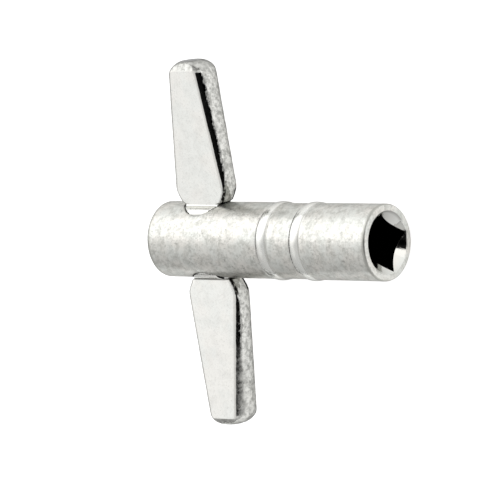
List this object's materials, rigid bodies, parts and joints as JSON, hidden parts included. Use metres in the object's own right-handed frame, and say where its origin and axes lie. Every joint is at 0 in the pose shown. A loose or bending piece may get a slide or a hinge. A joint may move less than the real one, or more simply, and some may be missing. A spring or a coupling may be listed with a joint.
{
  "type": "radiator bleed key",
  "caption": "T-shaped key with a square socket in a round barrel and a pressed cross bar, for turning the square stem of a radiator's air bleed valve.",
  "frame": {"origin": "centre of the socket's mouth, on the barrel's axis, in the plane of the rim", "axes": "-Y out of the socket's mouth along the barrel, X along the cross bar, +Z square to the bar's pressed faces, up when the key lies flat"},
  "size_m": [0.0438, 0.0328, 0.0092],
  "materials": {
    "plated_barrel": "bright nickel plate over turned steel, fine turning marks",
    "plated_bar": "bright nickel plate over pressed steel, smooth faces and rough edges"
  },
  "bodies": {
    "root": {"socket_barrel": "plated_barrel", "cross_bar": "plated_bar"}
  },
  "joints": []
}
